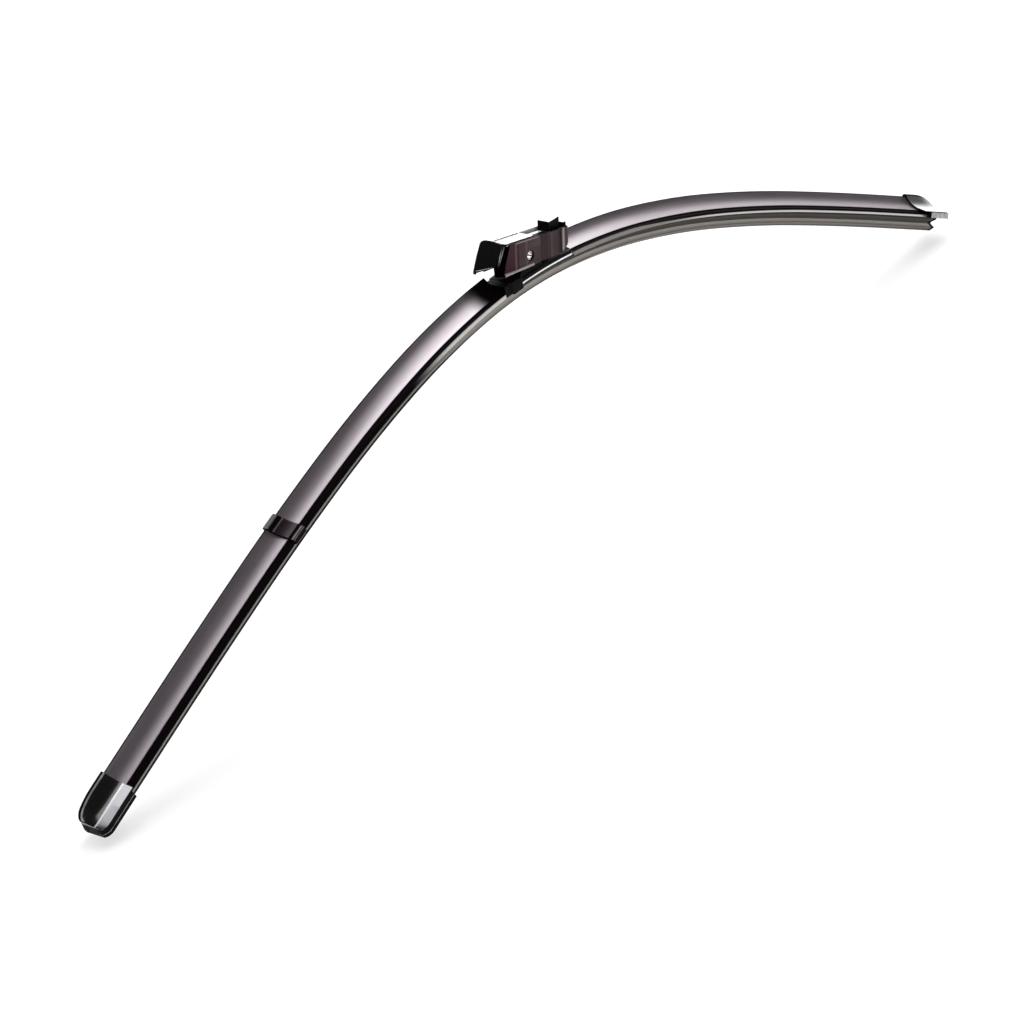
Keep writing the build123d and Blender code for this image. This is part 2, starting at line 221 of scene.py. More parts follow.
# moulded plastic: fine spark grain, faint cloudy patches and a few dust specks
mouldDefaults = {
    "shine": 0.5,
    "cloudScale": 140.0,
    "cloudLevels": (0.35, 0.7),
    "grainScale": 2600.0,
    "grainDepth": 0.00002,
    "grainStrength": 0.2,
    "speckScale": 1900.0,
    "speckLevels": (0.72, 0.8),
    "dust": 0.06,
    "dustColour": (0.3, 0.28, 0.27, 1.0),
    "roughSpread": 0.08,
}


def mouldedPlastic(name, ownLook):
    look = {**mouldDefaults, **ownLook}
    made = Finish(name, glossOf(look))
    place = made.here()
    cloud = place.noise(look["cloudScale"], detail=4.0)
    grain = place.noise(look["grainScale"], detail=2.0)
    specks = place.noise(look["speckScale"], detail=1.0).rise(*look["speckLevels"])
    body = cloud.rise(*look["cloudLevels"]).between(look["dark"], look["light"])
    if "shadeAndHighlightBands" in look:
        body = paintedBandsAlong(place, body, look["shadeAndHighlightBands"], look["rimHighlight"])
    if "sheen" in look:
        body = paintedSheenFront(made.along(), body, look["sheen"])
    # painted shade where the look asks for it
    if "nearShade" in look:
        made.shade(nearSideShade(place, look["nearShade"]), look["dark"])
    dusted = (specks * look["dust"]).between(body, look["dustColour"])
    made.give(Base_Color=dusted, Roughness=look["rough"] + (cloud - 0.5) * look["roughSpread"])
    made.emboss(grain, look["grainDepth"], look["grainStrength"])
    return made.material


connectorLook = {
    "ior": 1.2,
    "shine": 0.2,
    "dark": (0.0013, 0.0011, 0.0011, 1.0),
    "light": (0.003, 0.0026, 0.0026, 1.0),
    "rough": 0.4,
    "dust": 0.02,
}
connectorPlastic = mouldedPlastic("connectorPlastic", connectorLook)
# a slightly paler, glossier copy for the rounded edges, as a painted edge highlight
connectorEdgeLook = {
    **connectorLook,
    "ior": 1.4,
    "dark": (0.004, 0.0036, 0.0036, 1.0),
    "light": (0.009, 0.008, 0.008, 1.0),
}
connectorEdge = mouldedPlastic("connectorEdge", connectorEdgeLook)
hoodLook = {
    "ior": 2.3,
    "dark": (0.0009, 0.0008, 0.0008, 1.0),
    "light": (0.0018, 0.0016, 0.0016, 1.0),
    "rough": 0.13,
    "roughSpread": 0.04,
    "grainStrength": 0.04,
    "dust": 0.01,
    # painted shade over the hood's near side and low corner
    "nearShade": {"height": (-2.0, 6.0), "corner": (-6.5, -4.5), "side": (-7.75, -7.2)},
}
hoodPlastic = mouldedPlastic("hoodPlastic", hoodLook)
adapterLook = {
    "ior": 1.3,
    "shine": 0.3,
    "dark": (0.05, 0.026, 0.029, 1.0),
    "light": (0.068, 0.04, 0.043, 1.0),
    "rough": 0.36,
    "cloudScale": 90.0,
    # painted shade in the dark bands and painted highlights in the pale bands
    "shadeAndHighlightBands": [
        ((-60.0, -59.0), (-11.8, -11.0), (0.05, 0.015, 0.022, 1.0)),
        ((-11.6, -11.0), (-10.8, -9.9), (0.15, 0.09, 0.1, 1.0)),
        ((-10.4, -9.4), (-9.0, -7.8), (0.028, 0.01, 0.012, 1.0)),
        ((-4.6, -3.2), (-2.6, -1.6), (0.1, 0.065, 0.068, 1.0)),
        ((6.4, 8.4), (12.6, 13.8), (0.03, 0.013, 0.015, 1.0)),
        ((13.4, 14.8), (15.2, 17.0), (0.085, 0.058, 0.061, 1.0)),
        ((19.0, 22.0), (22.3, 22.9), (0.01, 0.003, 0.005, 1.0)),
        ((22.9, 24.0), (24.3, 25.6), (0.42, 0.36, 0.38, 1.0)),
    ],
    # painted highlight along the top edge of the near wall
    "rimHighlight": {
        "height": (7.5, 7.7),
        "rising": (-10.8, -10.0),
        "falling": (4.0, 7.0),
        "colour": (0.3, 0.24, 0.25, 1.0),
    },
}
adapterPlastic = mouldedPlastic("adapterPlastic", adapterLook)
# painted highlight: pale copy of the adapter plastic for its outermost ledges
adapterLedgeHighlightLook = {
    "ior": 1.6,
    "dark": (0.34, 0.3, 0.31, 1.0),
    "light": (0.6, 0.55, 0.56, 1.0),
    "rough": 0.36,
}
adapterLedgeHighlight = mouldedPlastic("adapterLedgeHighlight", adapterLedgeHighlightLook)
# painted shade: near-black plastic inside the adapter and on the top of its near wall
adapterInsideShade = mouldedPlastic("adapterInsideShade", {**connectorLook, "rough": 0.5})
# painted highlight: near-white plastic for the deck, the far wall and the lever's top, standing for glare
deckHighlightLook = {
    "ior": 2.6,
    "dark": (0.8, 0.79, 0.79, 1.0),
    "light": (0.88, 0.87, 0.87, 1.0),
    "rough": 0.22,
    "grainStrength": 0.08,
}
deckHighlight = mouldedPlastic("deckHighlight", deckHighlightLook)
capLook = {
    "ior": 2.3,
    "dark": (0.003, 0.0024, 0.0026, 1.0),
    "light": (0.006, 0.005, 0.0053, 1.0),
    "rough": 0.14,
    "roughSpread": 0.04,
    "grainStrength": 0.04,
    "dust": 0.01,
}
capPolish = mouldedPlastic("capPolish", capLook)
capBrimLook = {
    **capLook,
    "ior": 3.2,
    "tint": (0.94, 0.95, 1.0, 1.0),
    "dark": (0.02, 0.02, 0.026, 1.0),
    "rough": 0.2,
}
capBrim = mouldedPlastic("capBrim", capBrimLook)
satinSheenLook = {
    "ior": 2.4,
    "dark": (0.03, 0.03, 0.03, 1.0),
    "light": (0.045, 0.045, 0.045, 1.0),
    "rough": 0.32,
    # painted highlight on the right cap's front and tip
    "sheen": {
        "across": (-7.0, 3.0),
        "reach": (331.0, 341.0),
        "tipShare": 0.3,
        "colour": (0.88, 0.88, 0.88, 1.0),
    },
}
capSatinSheen = mouldedPlastic("capSatinSheen", satinSheenLook)
capWall = mouldedPlastic("capWall", {**capLook, "ior": 1.2, "shine": 0.2, "rough": 0.45})
# painted highlight: pale lines along the crest and the top of the skirt
capEdgeHighlightLook = {
    **capLook,
    "ior": 1.5,
    "dark": (0.2, 0.19, 0.18, 1.0),
    "light": (0.4, 0.38, 0.37, 1.0),
    "rough": 0.3,
}
capEdgeHighlight = mouldedPlastic("capEdgeHighlight", capEdgeHighlightLook)
# painted highlight: pale line along the fold between brim and hollow top
capFoldHighlightLook = {
    **capLook,
    "ior": 3.0,
    "dark": (0.55, 0.55, 0.58, 1.0),
    "light": (0.75, 0.75, 0.78, 1.0),
    "rough": 0.25,
}
capFoldHighlight = mouldedPlastic("capFoldHighlight", capFoldHighlightLook)
# painted reflection: pale grey skirt wall on the right cap
skirtSheenLook = {
    "ior": 1.5,
    "dark": (0.42, 0.42, 0.42, 1.0),
    "light": (0.7, 0.7, 0.69, 1.0),
    "rough": 0.4,
    "cloudScale": 500.0,
}
capSkirtSheen = mouldedPlastic("capSkirtSheen", skirtSheenLook)
clipLook = {
    "ior": 1.4,
    "tint": (1.0, 0.9, 0.97, 1.0),
    "dark": (0.01, 0.004, 0.0075, 1.0),
    "light": (0.016, 0.008, 0.0125, 1.0),
    "rough": 0.3,
}
clipPlastic = mouldedPlastic("clipPlastic", clipLook)
# painted highlight: pale stripes on the clip's ribs and face
clipHighlightLook = {
    **clipLook,
    "dark": (0.08, 0.065, 0.075, 1.0),
    "light": (0.15, 0.125, 0.14, 1.0),
}
clipHighlight = mouldedPlastic("clipHighlight", clipHighlightLook)
# painted shade: near black for the clip's ends, underside and faces outside the strap
clipShade = mouldedPlastic("clipShade", {**connectorLook, "light": (0.004, 0.002, 0.003, 1.0)})
clipGreyLook = {
    **clipLook,
    "dark": (0.05, 0.05, 0.05, 1.0),
    "light": (0.09, 0.09, 0.09, 1.0),
}
clipGrey = mouldedPlastic("clipGrey", clipGreyLook)

# spoiler rubber: satin black with extrusion streaks along the blade
extruded = {
    "streaks": (0.012, 2.4, 2.4),
    "bloom": (0.03, 0.25, 0.25),
    "streakShare": 0.6,
    "levels": (0.35, 0.7),
    "streakRough": 0.1,
    "bloomRough": 0.08,
    "grainScale": 2200.0,
    "streakBump": 0.7,
    "bumpDepth": 0.00003,
    "bumpStrength": 0.2,
}


def spoilerRubber(name, look):
    made = Finish(name, glossOf(look))
    flow = made.along()
    if "shaded" in look:
        reach = flow.part(0)
        shadow = reach.rise(*look["shaded"]["rising"]) * (1 - reach.rise(*look["shaded"]["falling"]))
        made.shade(shadow, look["shaded"]["colour"])
    streaks = flow.drawn(extruded["streaks"])
    bloom = flow.drawn(extruded["bloom"], detail=3.0, roughness=0.55)
    grain = made.here().noise(extruded["grainScale"], detail=2.0)
    mottled = streaks.shared(bloom, extruded["streakShare"]).rise(*extruded["levels"])
    rough = look["rough"] + (streaks - 0.5) * extruded["streakRough"]
    rough = rough + (bloom - 0.5) * extruded["bloomRough"]
    made.give(Base_Color=mottled.between(look["dark"], look["light"]), Roughness=rough)
    bumps = streaks.shared(grain, extruded["streakBump"])
    made.emboss(bumps, extruded["bumpDepth"], extruded["bumpStrength"])
    return made.material


skinLook = {
    "ior": 2.8,
    "shine": 0.5,
    "tint": (1.0, 0.9, 0.97, 1.0),
    "dark": (0.03, 0.023, 0.027, 1.0),
    "light": (0.044, 0.035, 0.04, 1.0),
    "rough": 0.36,
    "shaded": {
        "rising": (-42.0, -29.0),
        "falling": (-8.0, 0.0),
        "colour": (0.003, 0.002, 0.0025, 1.0),
    },
}
spoilerSkin = spoilerRubber("spoilerSkin", skinLook)
coveLook = {
    "ior": 1.15,
    "shine": 0.1,
    "tint": (1.0, 0.9, 0.95, 1.0),
    "dark": (0.0022, 0.0013, 0.0017, 1.0),
    "light": (0.004, 0.0026, 0.0032, 1.0),
    "rough": 0.6,
}
coveBlack = spoilerRubber("coveBlack", coveLook)
backLook = {
    "ior": 1.5,
    "shine": 0.4,
    "tint": (1.0, 0.95, 0.97, 1.0),
    "dark": (0.014, 0.011, 0.012, 1.0),
    "light": (0.024, 0.02, 0.022, 1.0),
    "rough": 0.45,
}
spoilerBack = spoilerRubber("spoilerBack", backLook)


# painted highlight on the flange's bead: black on the far left, brightest at the middle and the right, with
# an uneven upper border that is lower on the right
def paintedBeadHighlight(name, look):
    made = Finish(name, glossOf(look))
    flow = made.along()
    reach = flow.part(0)
    streaks = flow.drawn(look["streaks"])
    wider = (1 - reach.rise(*look["narrowing"])) * look["widening"]
    border = look["border"] + wider + (streaks - 0.5) * look["waver"]
    below = 1 - (flow.part(2) - border).rise(-look["blur"], look["blur"])
    bright = reach.rise(*look["fadeIn"]) * below
    strong = reach.rise(*look["strongRight"]) + (1 - reach.rise(*look["strongLeft"]))
    sheen = strong.held().between(look["dull"], look["light"])
    rough = look["rough"] + (streaks - 0.5) * look["roughSpread"]
    made.give(Base_Color=bright.between(look["dark"], sheen), Metallic=bright, Roughness=rough)
    made.emboss(streaks, look["bumpDepth"], look["bumpStrength"])
    return made.material


beadHighlightLook = {
    "ior": 1.08,
    "shine": 0.2,
    "streaks": (0.03, 2.0, 2.0),
    "border": -0.1,
    "narrowing": (70.0, 120.0),
    "widening": 1.0,
    "waver": 0.3,
    "blur": 0.25,
    "fadeIn": (-95.0, -62.0),
    "strongLeft": (-30.0, 20.0),
    "strongRight": (90.0, 150.0),
    "dark": (0.003, 0.002, 0.0022, 1.0),
    "dull": (0.2, 0.19, 0.175, 1.0),
    "light": (0.5, 0.48, 0.47, 1.0),
    "rough": 0.3,
    "roughSpread": 0.2,
    "bumpDepth": 0.00002,
    "bumpStrength": 0.2,
}
flangeBeadHighlight = paintedBeadHighlight("flangeBeadHighlight", beadHighlightLook)


# wiping rubber: olive grey and powdery, with painted shade under the shoulder, in the waist, on the far
# left, along the edge, at the lip and at the cut ends, and painted light on the upper and lower slopes
def wipingRubber(name, look):
    made = Finish(name, glossOf(look))
    flow = made.along()
    streaks = flow.drawn(look["streaks"])
    powder = flow.drawn(look["patches"], roughness=0.65)
    reach = flow.part(0)
    depth = flow.part(2) + (streaks - 0.5) * look["waver"]
    leftward = 1 - reach.rise(*look["leftward"])
    # painted shade on the shoulder and waist, painted light on the slopes below them
    tone = depth.rise(*look["shoulderFoot"]).between(look["waist"], look["shoulder"])
    tone = (1 - depth.rise(*look["slopeTop"])).between(tone, look["slope"])
    tone = (1 - depth.rise(*look["lowerTop"])).between(tone, look["lower"])
    # painted shade over the strip's far left
    tone = (leftward * depth.rise(*look["leftShade"])).between(tone, look["shoulder"])
    # painted shade along the edge and at the lip
    edgeTone = reach.rise(*look["edgeFade"]).between(look["edgeLeft"], look["edgeRight"])
    tone = (1 - (depth - leftward * look["leftRise"]).rise(*look["edgeTop"])).between(tone, edgeTone)
    tone = (1 - depth.rise(*look["lipTop"])).between(tone, look["lip"])
    tone = (powder.rise(*look["powderLevels"]) * look["powderShare"]).between(tone, look["powder"])
    # painted shade on the cut ends
    shadedCutEnds = reach.rise(*look["rightEnd"]) + (1 - reach.rise(*look["leftEnd"]))
    made.give(Base_Color=tone, Roughness=look["rough"] + (powder - 0.5) * look["roughSpread"])
    made.emboss(streaks, look["bumpDepth"], look["bumpStrength"])
    made.shade(shadedCutEnds.held(), look["cutShade"])
    return made.material


stripLook = {
    "ior": 1.45,
    "shine": 0.25,
    "streaks": (0.02, 3.0, 3.0),
    "patches": (0.12, 0.5, 0.5),
    "waver": 0.25,
    "shoulder": (0.008, 0.006, 0.005, 1.0),
    "shoulderFoot": (-2.45, -2.2),
    "waist": (0.07, 0.062, 0.054, 1.0),
    "slope": (0.72, 0.68, 0.64, 1.0),
    "slopeTop": (-5.15, -4.9),
    "lower": (0.46, 0.43, 0.4, 1.0),
    "lowerTop": (-6.3, -5.6),
    "leftward": (-100.0, -40.0),
    "leftShade": (-5.9, -5.7),
    "leftRise": 0.3,
    "edgeLeft": (0.02, 0.017, 0.016, 1.0),
    "edgeRight": (0.2, 0.18, 0.168, 1.0),
    "edgeFade": (-30.0, 60.0),
    "edgeTop": (-6.6, -6.4),
    "lip": (0.045, 0.04, 0.037, 1.0),
    "lipTop": (-8.0, -7.5),
    "powder": (0.3, 0.28, 0.25, 1.0),
    "powderLevels": (0.35, 0.75),
    "powderShare": 0.06,
    "cutShade": (0.004, 0.003, 0.0025, 1.0),
    "leftEnd": (-347.0, -343.0),
    "rightEnd": (336.0, 338.5),
    "rough": 0.55,
    "roughSpread": 0.2,
    "bumpDepth": 0.00004,
    "bumpStrength": 0.25,
}
stripRubber = wipingRubber("stripRubber", stripLook)

# rolled and brushed metal
brushed = {
    "brushShare": 0.6,
    "cloudScale": 120.0,
    "levels": (0.3, 0.75),
    "roughSpread": 0.16,
    "bumpDepth": 0.00001,
    "bumpStrength": 0.25,
}


def brushedSteel(name, look):
    made = Finish(name, {"Metallic": 1.0})
    place = made.here()
    brush = place.drawn(look["brush"], detail=3.0)
    cloud = place.noise(brushed["cloudScale"])
    patches = brush.shared(cloud, brushed["brushShare"]).rise(*brushed["levels"])
    colour = patches.between(look["dark"], look["light"])
    # painted shade: black at both ends of the bush
    if "endShade" in look:
        across = place.part(1) * perMetre
        ends = 1 - across.rise(*look["endShade"]["near"]) + across.rise(*look["endShade"]["far"])
        colour = ends.held().between(colour, look["endShade"]["colour"])
    made.give(Base_Color=colour, Roughness=look["rough"] + (brush - 0.5) * brushed["roughSpread"])
    made.emboss(brush, brushed["bumpDepth"], brushed["bumpStrength"])
    return made.material


railLook = {
    "brush": (90.0, 3000.0, 3000.0),
    "dark": (0.74, 0.75, 0.73, 1.0),
    "light": (0.95, 0.95, 0.94, 1.0),
    "rough": 0.3,
}
railSteel = brushedSteel("railSteel", railLook)
bushLook = {
    "brush": (2600.0, 300.0, 2600.0),
    "dark": (0.93, 0.93, 0.93, 1.0),
    "light": (0.98, 0.98, 0.98, 1.0),
    "rough": 0.1,
    "endShade": {"near": (-5.5, -5.1), "far": (5.1, 5.5), "colour": (0.02, 0.015, 0.016, 1.0)},
}
bushSteel = brushedSteel("bushSteel", bushLook)
print("finishes made")

# bow of the free blade, in millimetres along the rails from under the pivot
bow = {
    "middle": -1.0,
    "half": 353.0,
    "angle": 26.05,
    "shares": (0.1, 0.25, 0.42, 0.62, 0.85),
    "pivotHeight": 11.2,
}
bowStations = sorted(
    bow["middle"] + side * share * bow["half"] for side in (-1, 1) for share in bow["shares"]
)


# slope of the true bow, which grows towards the tips
def fullSlope(s):
    left = max(1 - abs(s - bow["middle"]) / bow["half"], 0)
    return -math.copysign(math.radians(bow["angle"]) * (1 - left**3), s - bow["middle"])


# the blade is made of arcs, so its slope is even between stations
def bowSlope(s):
    s = min(max(s, bowStations[0]), bowStations[-1])
    for a, b in zip(bowStations, bowStations[1:]):
        if a <= s <= b:
            return fullSlope(a) + (fullSlope(b) - fullSlope(a)) * (s - a) / (b - a)


def bowPlace(s):
    x, z = 0.0, -bow["pivotHeight"]
    inner = [k for k in bowStations if min(0, s) < k < max(0, s)]
    path = [0.0, *(inner if s > 0 else reversed(inner)), s]
    for a, b in zip(path, path[1:]):
        middle = (bowSlope(a) + bowSlope(b)) / 2
        halfTurn = (bowSlope(b) - bowSlope(a)) / 2
        chord = (b - a) * (math.sin(halfTurn) / halfTurn if halfTurn else 1)
        x += chord * math.cos(middle)
        z += chord * math.sin(middle)
    return x, z


# lays a straight bar along the bow, keeping where each point lay in its section
def bendToBow(bm):
    section = bm.verts.layers.float_vector.new("section")
    rings = {}
    for vert in bm.verts:
        s, y, n = vert.co
        vert[section] = vert.co
        if s not in rings:
            rings[s] = (*bowPlace(s), bowSlope(s))
        x, z, slope = rings[s]
        vert.co = Vector((x - n * math.sin(slope), y, z + n * math.cos(slope))) * mm


# points of a hollow or bulging run between two corners
def sagged(first, last, sag, steps):
    a, b = Vector(first), Vector(last)
    out = Vector((a.y - b.y, b.x - a.x)).normalized()
    points = []
    for k in range(1, steps):
        share = k / steps
        points.append(tuple(a.lerp(b, share) + out * sag * 4 * share * (1 - share)) + (0,))
    return points


# a bar of one section, in millimetres: corners are (y, height, rounding)
def straightBar(corners, start, end, ringLength=4.0):
    bm = bmesh.new()
    verts = [bm.verts.new((start, y, n)) for y, n, r in corners]
    bm.faces.new(verts)
    for radius in sorted({r for y, n, r in corners if r}):
        bmesh.ops.bevel(
            bm,
            geom=[v for v, c in zip(verts, corners) if c[2] == radius],
            affect="VERTICES",
            offset=radius,
            segments=3,
            profile=0.5,
            material=-1,
            clamp_overlap=False,
        )
    grown = bmesh.ops.extrude_face_region(bm, geom=bm.faces[:])
    moved = [g for g in grown["geom"] if isinstance(g, bmesh.types.BMVert)]
    bmesh.ops.translate(bm, verts=moved, vec=(end - start, 0, 0))
    sides = [e for e in bm.edges if e.verts[0].co.x != e.verts[1].co.x]
    bmesh.ops.subdivide_edges(bm, edges=sides, cuts=int((end - start) / ringLength), use_grid_fill=True)
    bmesh.ops.recalc_face_normals(bm, faces=bm.faces)
    return bm


# cuts the faces that cross a plane, and keeps both sides
def scored(bm, place, normal, tolerance):
    geometry = bm.verts[:] + bm.edges[:] + bm.faces[:]
    bmesh.ops.bisect_plane(bm, geom=geometry, dist=tolerance, plane_co=place, plane_no=normal)


# edges that turn by more than this stay sharp, in degrees
sharpness = {"bars": 32.0, "hollowBars": 14.0, "hood": 60.0, "mouldings": 30.0}
endFacing = 0.9  # a face that looks along the blade at least this squarely is an end


# puts a finished mesh into the scene in place of its CAD nodes
def settle(bm, name, body, finishes, nodes, sharpFrom=sharpness["bars"]):
    mesh = bpy.data.meshes.new(name)
    bm.to_mesh(mesh)
    bm.free()
    for finish in finishes:
        mesh.materials.append(finish)
    mesh.shade_smooth()
    mesh.set_sharp_from_angle(angle=math.radians(sharpFrom))
    piece = bpy.data.objects.new(name, mesh)
    scene.collection.objects.link(piece)
    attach(piece, body)
    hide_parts(*nodes)
    return piece


# wiping strip: head and shoulder between the rails, waist, and the lip that touches the glass
strip = {
    "start": -350.0,
    "end": 339.9,
    "half": [
        (2.2, 1.45, 0.3),
        (2.2, 0.55, 0),
        (1.2, 0.55, 0),
        (1.2, -0.55, 0),
        (4.0, -0.55, 0.2),
        (4.0, -2.35, 0.35),
        (0.7, -4.2, 0.5),
        (0.7, -5.0, 0.4),
        (3.4, -6.75, 0.3),
        (0.45, -8.78, 0.08),
    ],
}
stripSection = strip["half"] + [(-y, n, r) for y, n, r in reversed(strip["half"])]
stripBar = straightBar(stripSection, strip["start"], strip["end"])
bendToBow(stripBar)
settle(stripBar, "wipingStrip", "blade", [stripRubber], ["wiper_rubber"])

# spring rails, with rolled edges
rails = {"start": -348.0, "end": 337.9, "inner": 1.3, "outer": 5.6, "half": 0.5, "rolled": 0.18}
for side, name, node in ((-1, "frontRail", "front_rail"), (1, "rearRail", "rear_rail")):
    ends = [(side * rails["inner"], rails["half"]), (side * rails["outer"], rails["half"])]
    ends += [(y, -n) for y, n in reversed(ends)]
    railBar = straightBar([(y, n, rails["rolled"]) for y, n in ends], rails["start"], rails["end"])
    bendToBow(railBar)
    settle(railBar, name, "blade", [railSteel], [node])

# spoiler: hollow front face, leaning fin, cove, and feet round the rails
spoiler = {
    "left": (-344.0, -21.0),
    "right": (30.5, 333.9),
    "faceHollow": -0.8,
    "backHollow": -0.5,
    "coveHollow": -0.2,
    "front": [(-4.75, -0.55, 0), (-4.75, -1.1, 0.12), (-6.35, -1.1, 0.15), (-6.35, 1.0, 0.2)],
    "underEdge": (-4.35, 1.6),
    "frontEdge": (-4.1, 2.1),
    "frontRound": 0.12,
    "finFront": (5.05, 7.8),
    "finTop": (5.4, 8.15),
    "finRound": 0.2,
    "finBack": (5.75, 7.8),
    "back": [(6.35, 1.0, 0.2), (6.35, -1.1, 0.3), (4.75, -1.1, 0.12), (4.75, -0.55, 0)],
    "channel": [
        (5.65, -0.55, 0),
        (5.65, 0.55, 0),
        (2.4, 0.55, 0),
        (2.4, 1.65, 0),
        (-2.4, 1.65, 0),
        (-2.4, 0.55, 0),
        (-5.65, 0.55, 0),
        (-5.65, -0.55, 0),
    ],
    "beadEdge": (-6.0, 1.0),
    "coveEdge": (-4.2, 1.9),
    "backFrom": 5.2,
}
spoilerSection = (
    spoiler["front"]
    + sagged(spoiler["front"][-1][:2], spoiler["underEdge"], spoiler["coveHollow"], steps=4)
    + [spoiler["underEdge"] + (0,), spoiler["frontEdge"] + (spoiler["frontRound"],)]
    + sagged(spoiler["frontEdge"], spoiler["finFront"], spoiler["faceHollow"], steps=14)
    + [spoiler["finFront"] + (0,), spoiler["finTop"] + (spoiler["finRound"],), spoiler["finBack"] + (0,)]
    + sagged(spoiler["finBack"], spoiler["back"][0][:2], spoiler["backHollow"], steps=10)
    + spoiler["back"]
    + spoiler["channel"]
)
spoilerFinishes = [spoilerSkin, coveBlack, flangeBeadHighlight, spoilerBack]
skinFace, coveFace, beadFace, backFace = range(len(spoilerFinishes))


# which finish a face of the spoiler takes
def spoilerFace(middle):
    if middle.y < spoiler["beadEdge"][0] and middle.z < spoiler["beadEdge"][1]:
        return beadFace
    inCove = middle.y < spoiler["coveEdge"][0] and middle.z < spoiler["coveEdge"][1]
    if inCove or middle.z > spoiler["finFront"][1]:
        return coveFace
    return backFace if middle.y > spoiler["backFrom"] else skinFace


spoilerHalves = (("leftSpoiler", "left_spoiler", "left"), ("rightSpoiler", "right_spoiler", "right"))
for name, node, reach in spoilerHalves:
    finBar = straightBar(spoilerSection, *spoiler[reach])
    for face in finBar.faces:
        face.material_index = spoilerFace(face.calc_center_median())
    bendToBow(finBar)
    settle(finBar, name, "blade", spoilerFinishes, [node], sharpness["hollowBars"])
print("blade swept")

# end caps: a hollow top with a brim, dark walls, and a skirt that starts behind the mouth
cap = {
    "length": 25.0,
    "ringLength": 0.7,
    "noseStart": 9.0,
    "noseBase": 2.3,
    "bodyRound": 6.0,
    "halfFront": 9.3,
    "halfBack": 7.9,
    "cover": 1.9,
    "mouthStep": 0.02,
    "faceHollow": -0.75,
    "backHollow": -0.45,
    "brimFold": (-3.6, 3.35, 0.5),
    "crest": [(4.1, 8.6, 0), (4.75, 9.15, 0), (5.4, 9.35, 0), (6.2, 9.15, 0), (6.85, 8.4, 0)],
    "backFoot": (7.4, 2.9),
    "foldReach": 0.55,
    "brimFrom": 2.2,
    "topFrom": 2.6,
    "skirtFront": -9.15,
    "lineFront": -9.02,
    "lineReach": 0.26,
    "slack": 0.01,
    "cutTolerance": 0.0001,
    "weld": 0.001,
}
leftCap = {
    "mouth": -331.0,
    "outward": -1,
    "skirtFrom": 1.5,
    "skirtTop": -0.5,
    "skirtRound": 5.0,
    "skirtReach": 24.5,
    "bodyReach": 23.5,
    "front": [(-9.24, -2.6, 0.2), (-9.24, -0.75, 0.2), (-9.0, -0.5, 0), (-9.0, 2.35, 0.3)],
    "back": [(7.6, 2.4, 0.2), (7.6, -0.5, 0), (7.9, -0.75, 0.2), (7.9, -2.6, 0.2)],
    "finishes": [capPolish, capBrim, capWall, capEdgeHighlight, capWall, capFoldHighlight],
}
rightCap = {
    "mouth": 320.9,
    "outward": 1,
    "skirtFrom": 6.2,
    "skirtTop": 1.75,
    "skirtRound": 1.2,
    "skirtReach": 22.0,
    "bodyReach": 22.4,
    "front": [(-9.24, -1.2, 0.2), (-9.24, 1.7, 0.15), (-9.0, 1.8, 0), (-9.0, 2.0, 0), (-9.24, 2.4, 0.25)],
    "back": [(7.9, 2.4, 0.2), (7.6, 2.0, 0), (7.6, 1.8, 0), (7.9, 1.7, 0.15), (7.9, -1.2, 0.2)],
    "finishes": [capSatinSheen, capSatinSheen, capWall, capWall, capSkirtSheen, capSatinSheen],
}
topFace, brimFace, wallFace, lineFace, skirtFace, foldFace = range(len(leftCap["finishes"]))


# width left at a distance along a rounded nose
def roundedHalf(half, radius, past):
    if past <= 0:
        return half
    return half - radius + math.sqrt(max(radius**2 - past**2, 0))


# which finish a face of a cap takes, while the cap is still a straight bar
def capFace(face, end):
    middle = face.calc_center_median()
    fold = cap["brimFold"][0]
    if abs(face.normal.x) > endFacing:
        return wallFace
    if middle.z > cap["crest"][0][1]:
        return lineFace if middle.y < cap["crest"][1][0] else wallFace
    if middle.z > cap["brimFrom"] and abs(middle.y - fold) < cap["foldReach"]:
        return foldFace
    if middle.z > cap["brimFrom"] and middle.y < fold:
        return brimFace
    if middle.z > cap["topFrom"]:
        return topFace
    if middle.y < cap["skirtFront"] and middle.z < end["skirtTop"]:
        return skirtFace
    if middle.y < cap["lineFront"] and abs(middle.z - end["skirtTop"]) < cap["lineReach"]:
        return lineFace
    return wallFace


# lifts the skirt clear of the mouth, and sinks and narrows the bar towards its nose
def capPoint(t, y, n, end):
    skirted = n <= end["skirtTop"] + cap["slack"]
    noseLength = cap["length"] - cap["noseStart"]
    rise = 1.0
    if t < end["skirtFrom"]:
        n = max(n, cap["cover"])
    if t > cap["noseStart"]:
        turn = (t - cap["noseStart"]) / noseLength * math.pi / 2
        t = cap["noseStart"] + noseLength * math.sin(turn)
        rise = math.cos(turn)
    if n > cap["noseBase"]:
        n = cap["noseBase"] + (n - cap["noseBase"]) * rise
    half = cap["halfFront"] if y < 0 else cap["halfBack"]
    radius = end["skirtRound"] if skirted else cap["bodyRound"]
    y *= roundedHalf(half, radius, t - cap["length"] + radius) / half
    t = min(t, end["skirtReach"] if skirted else end["bodyReach"])
    return end["mouth"] + end["outward"] * t, y, n


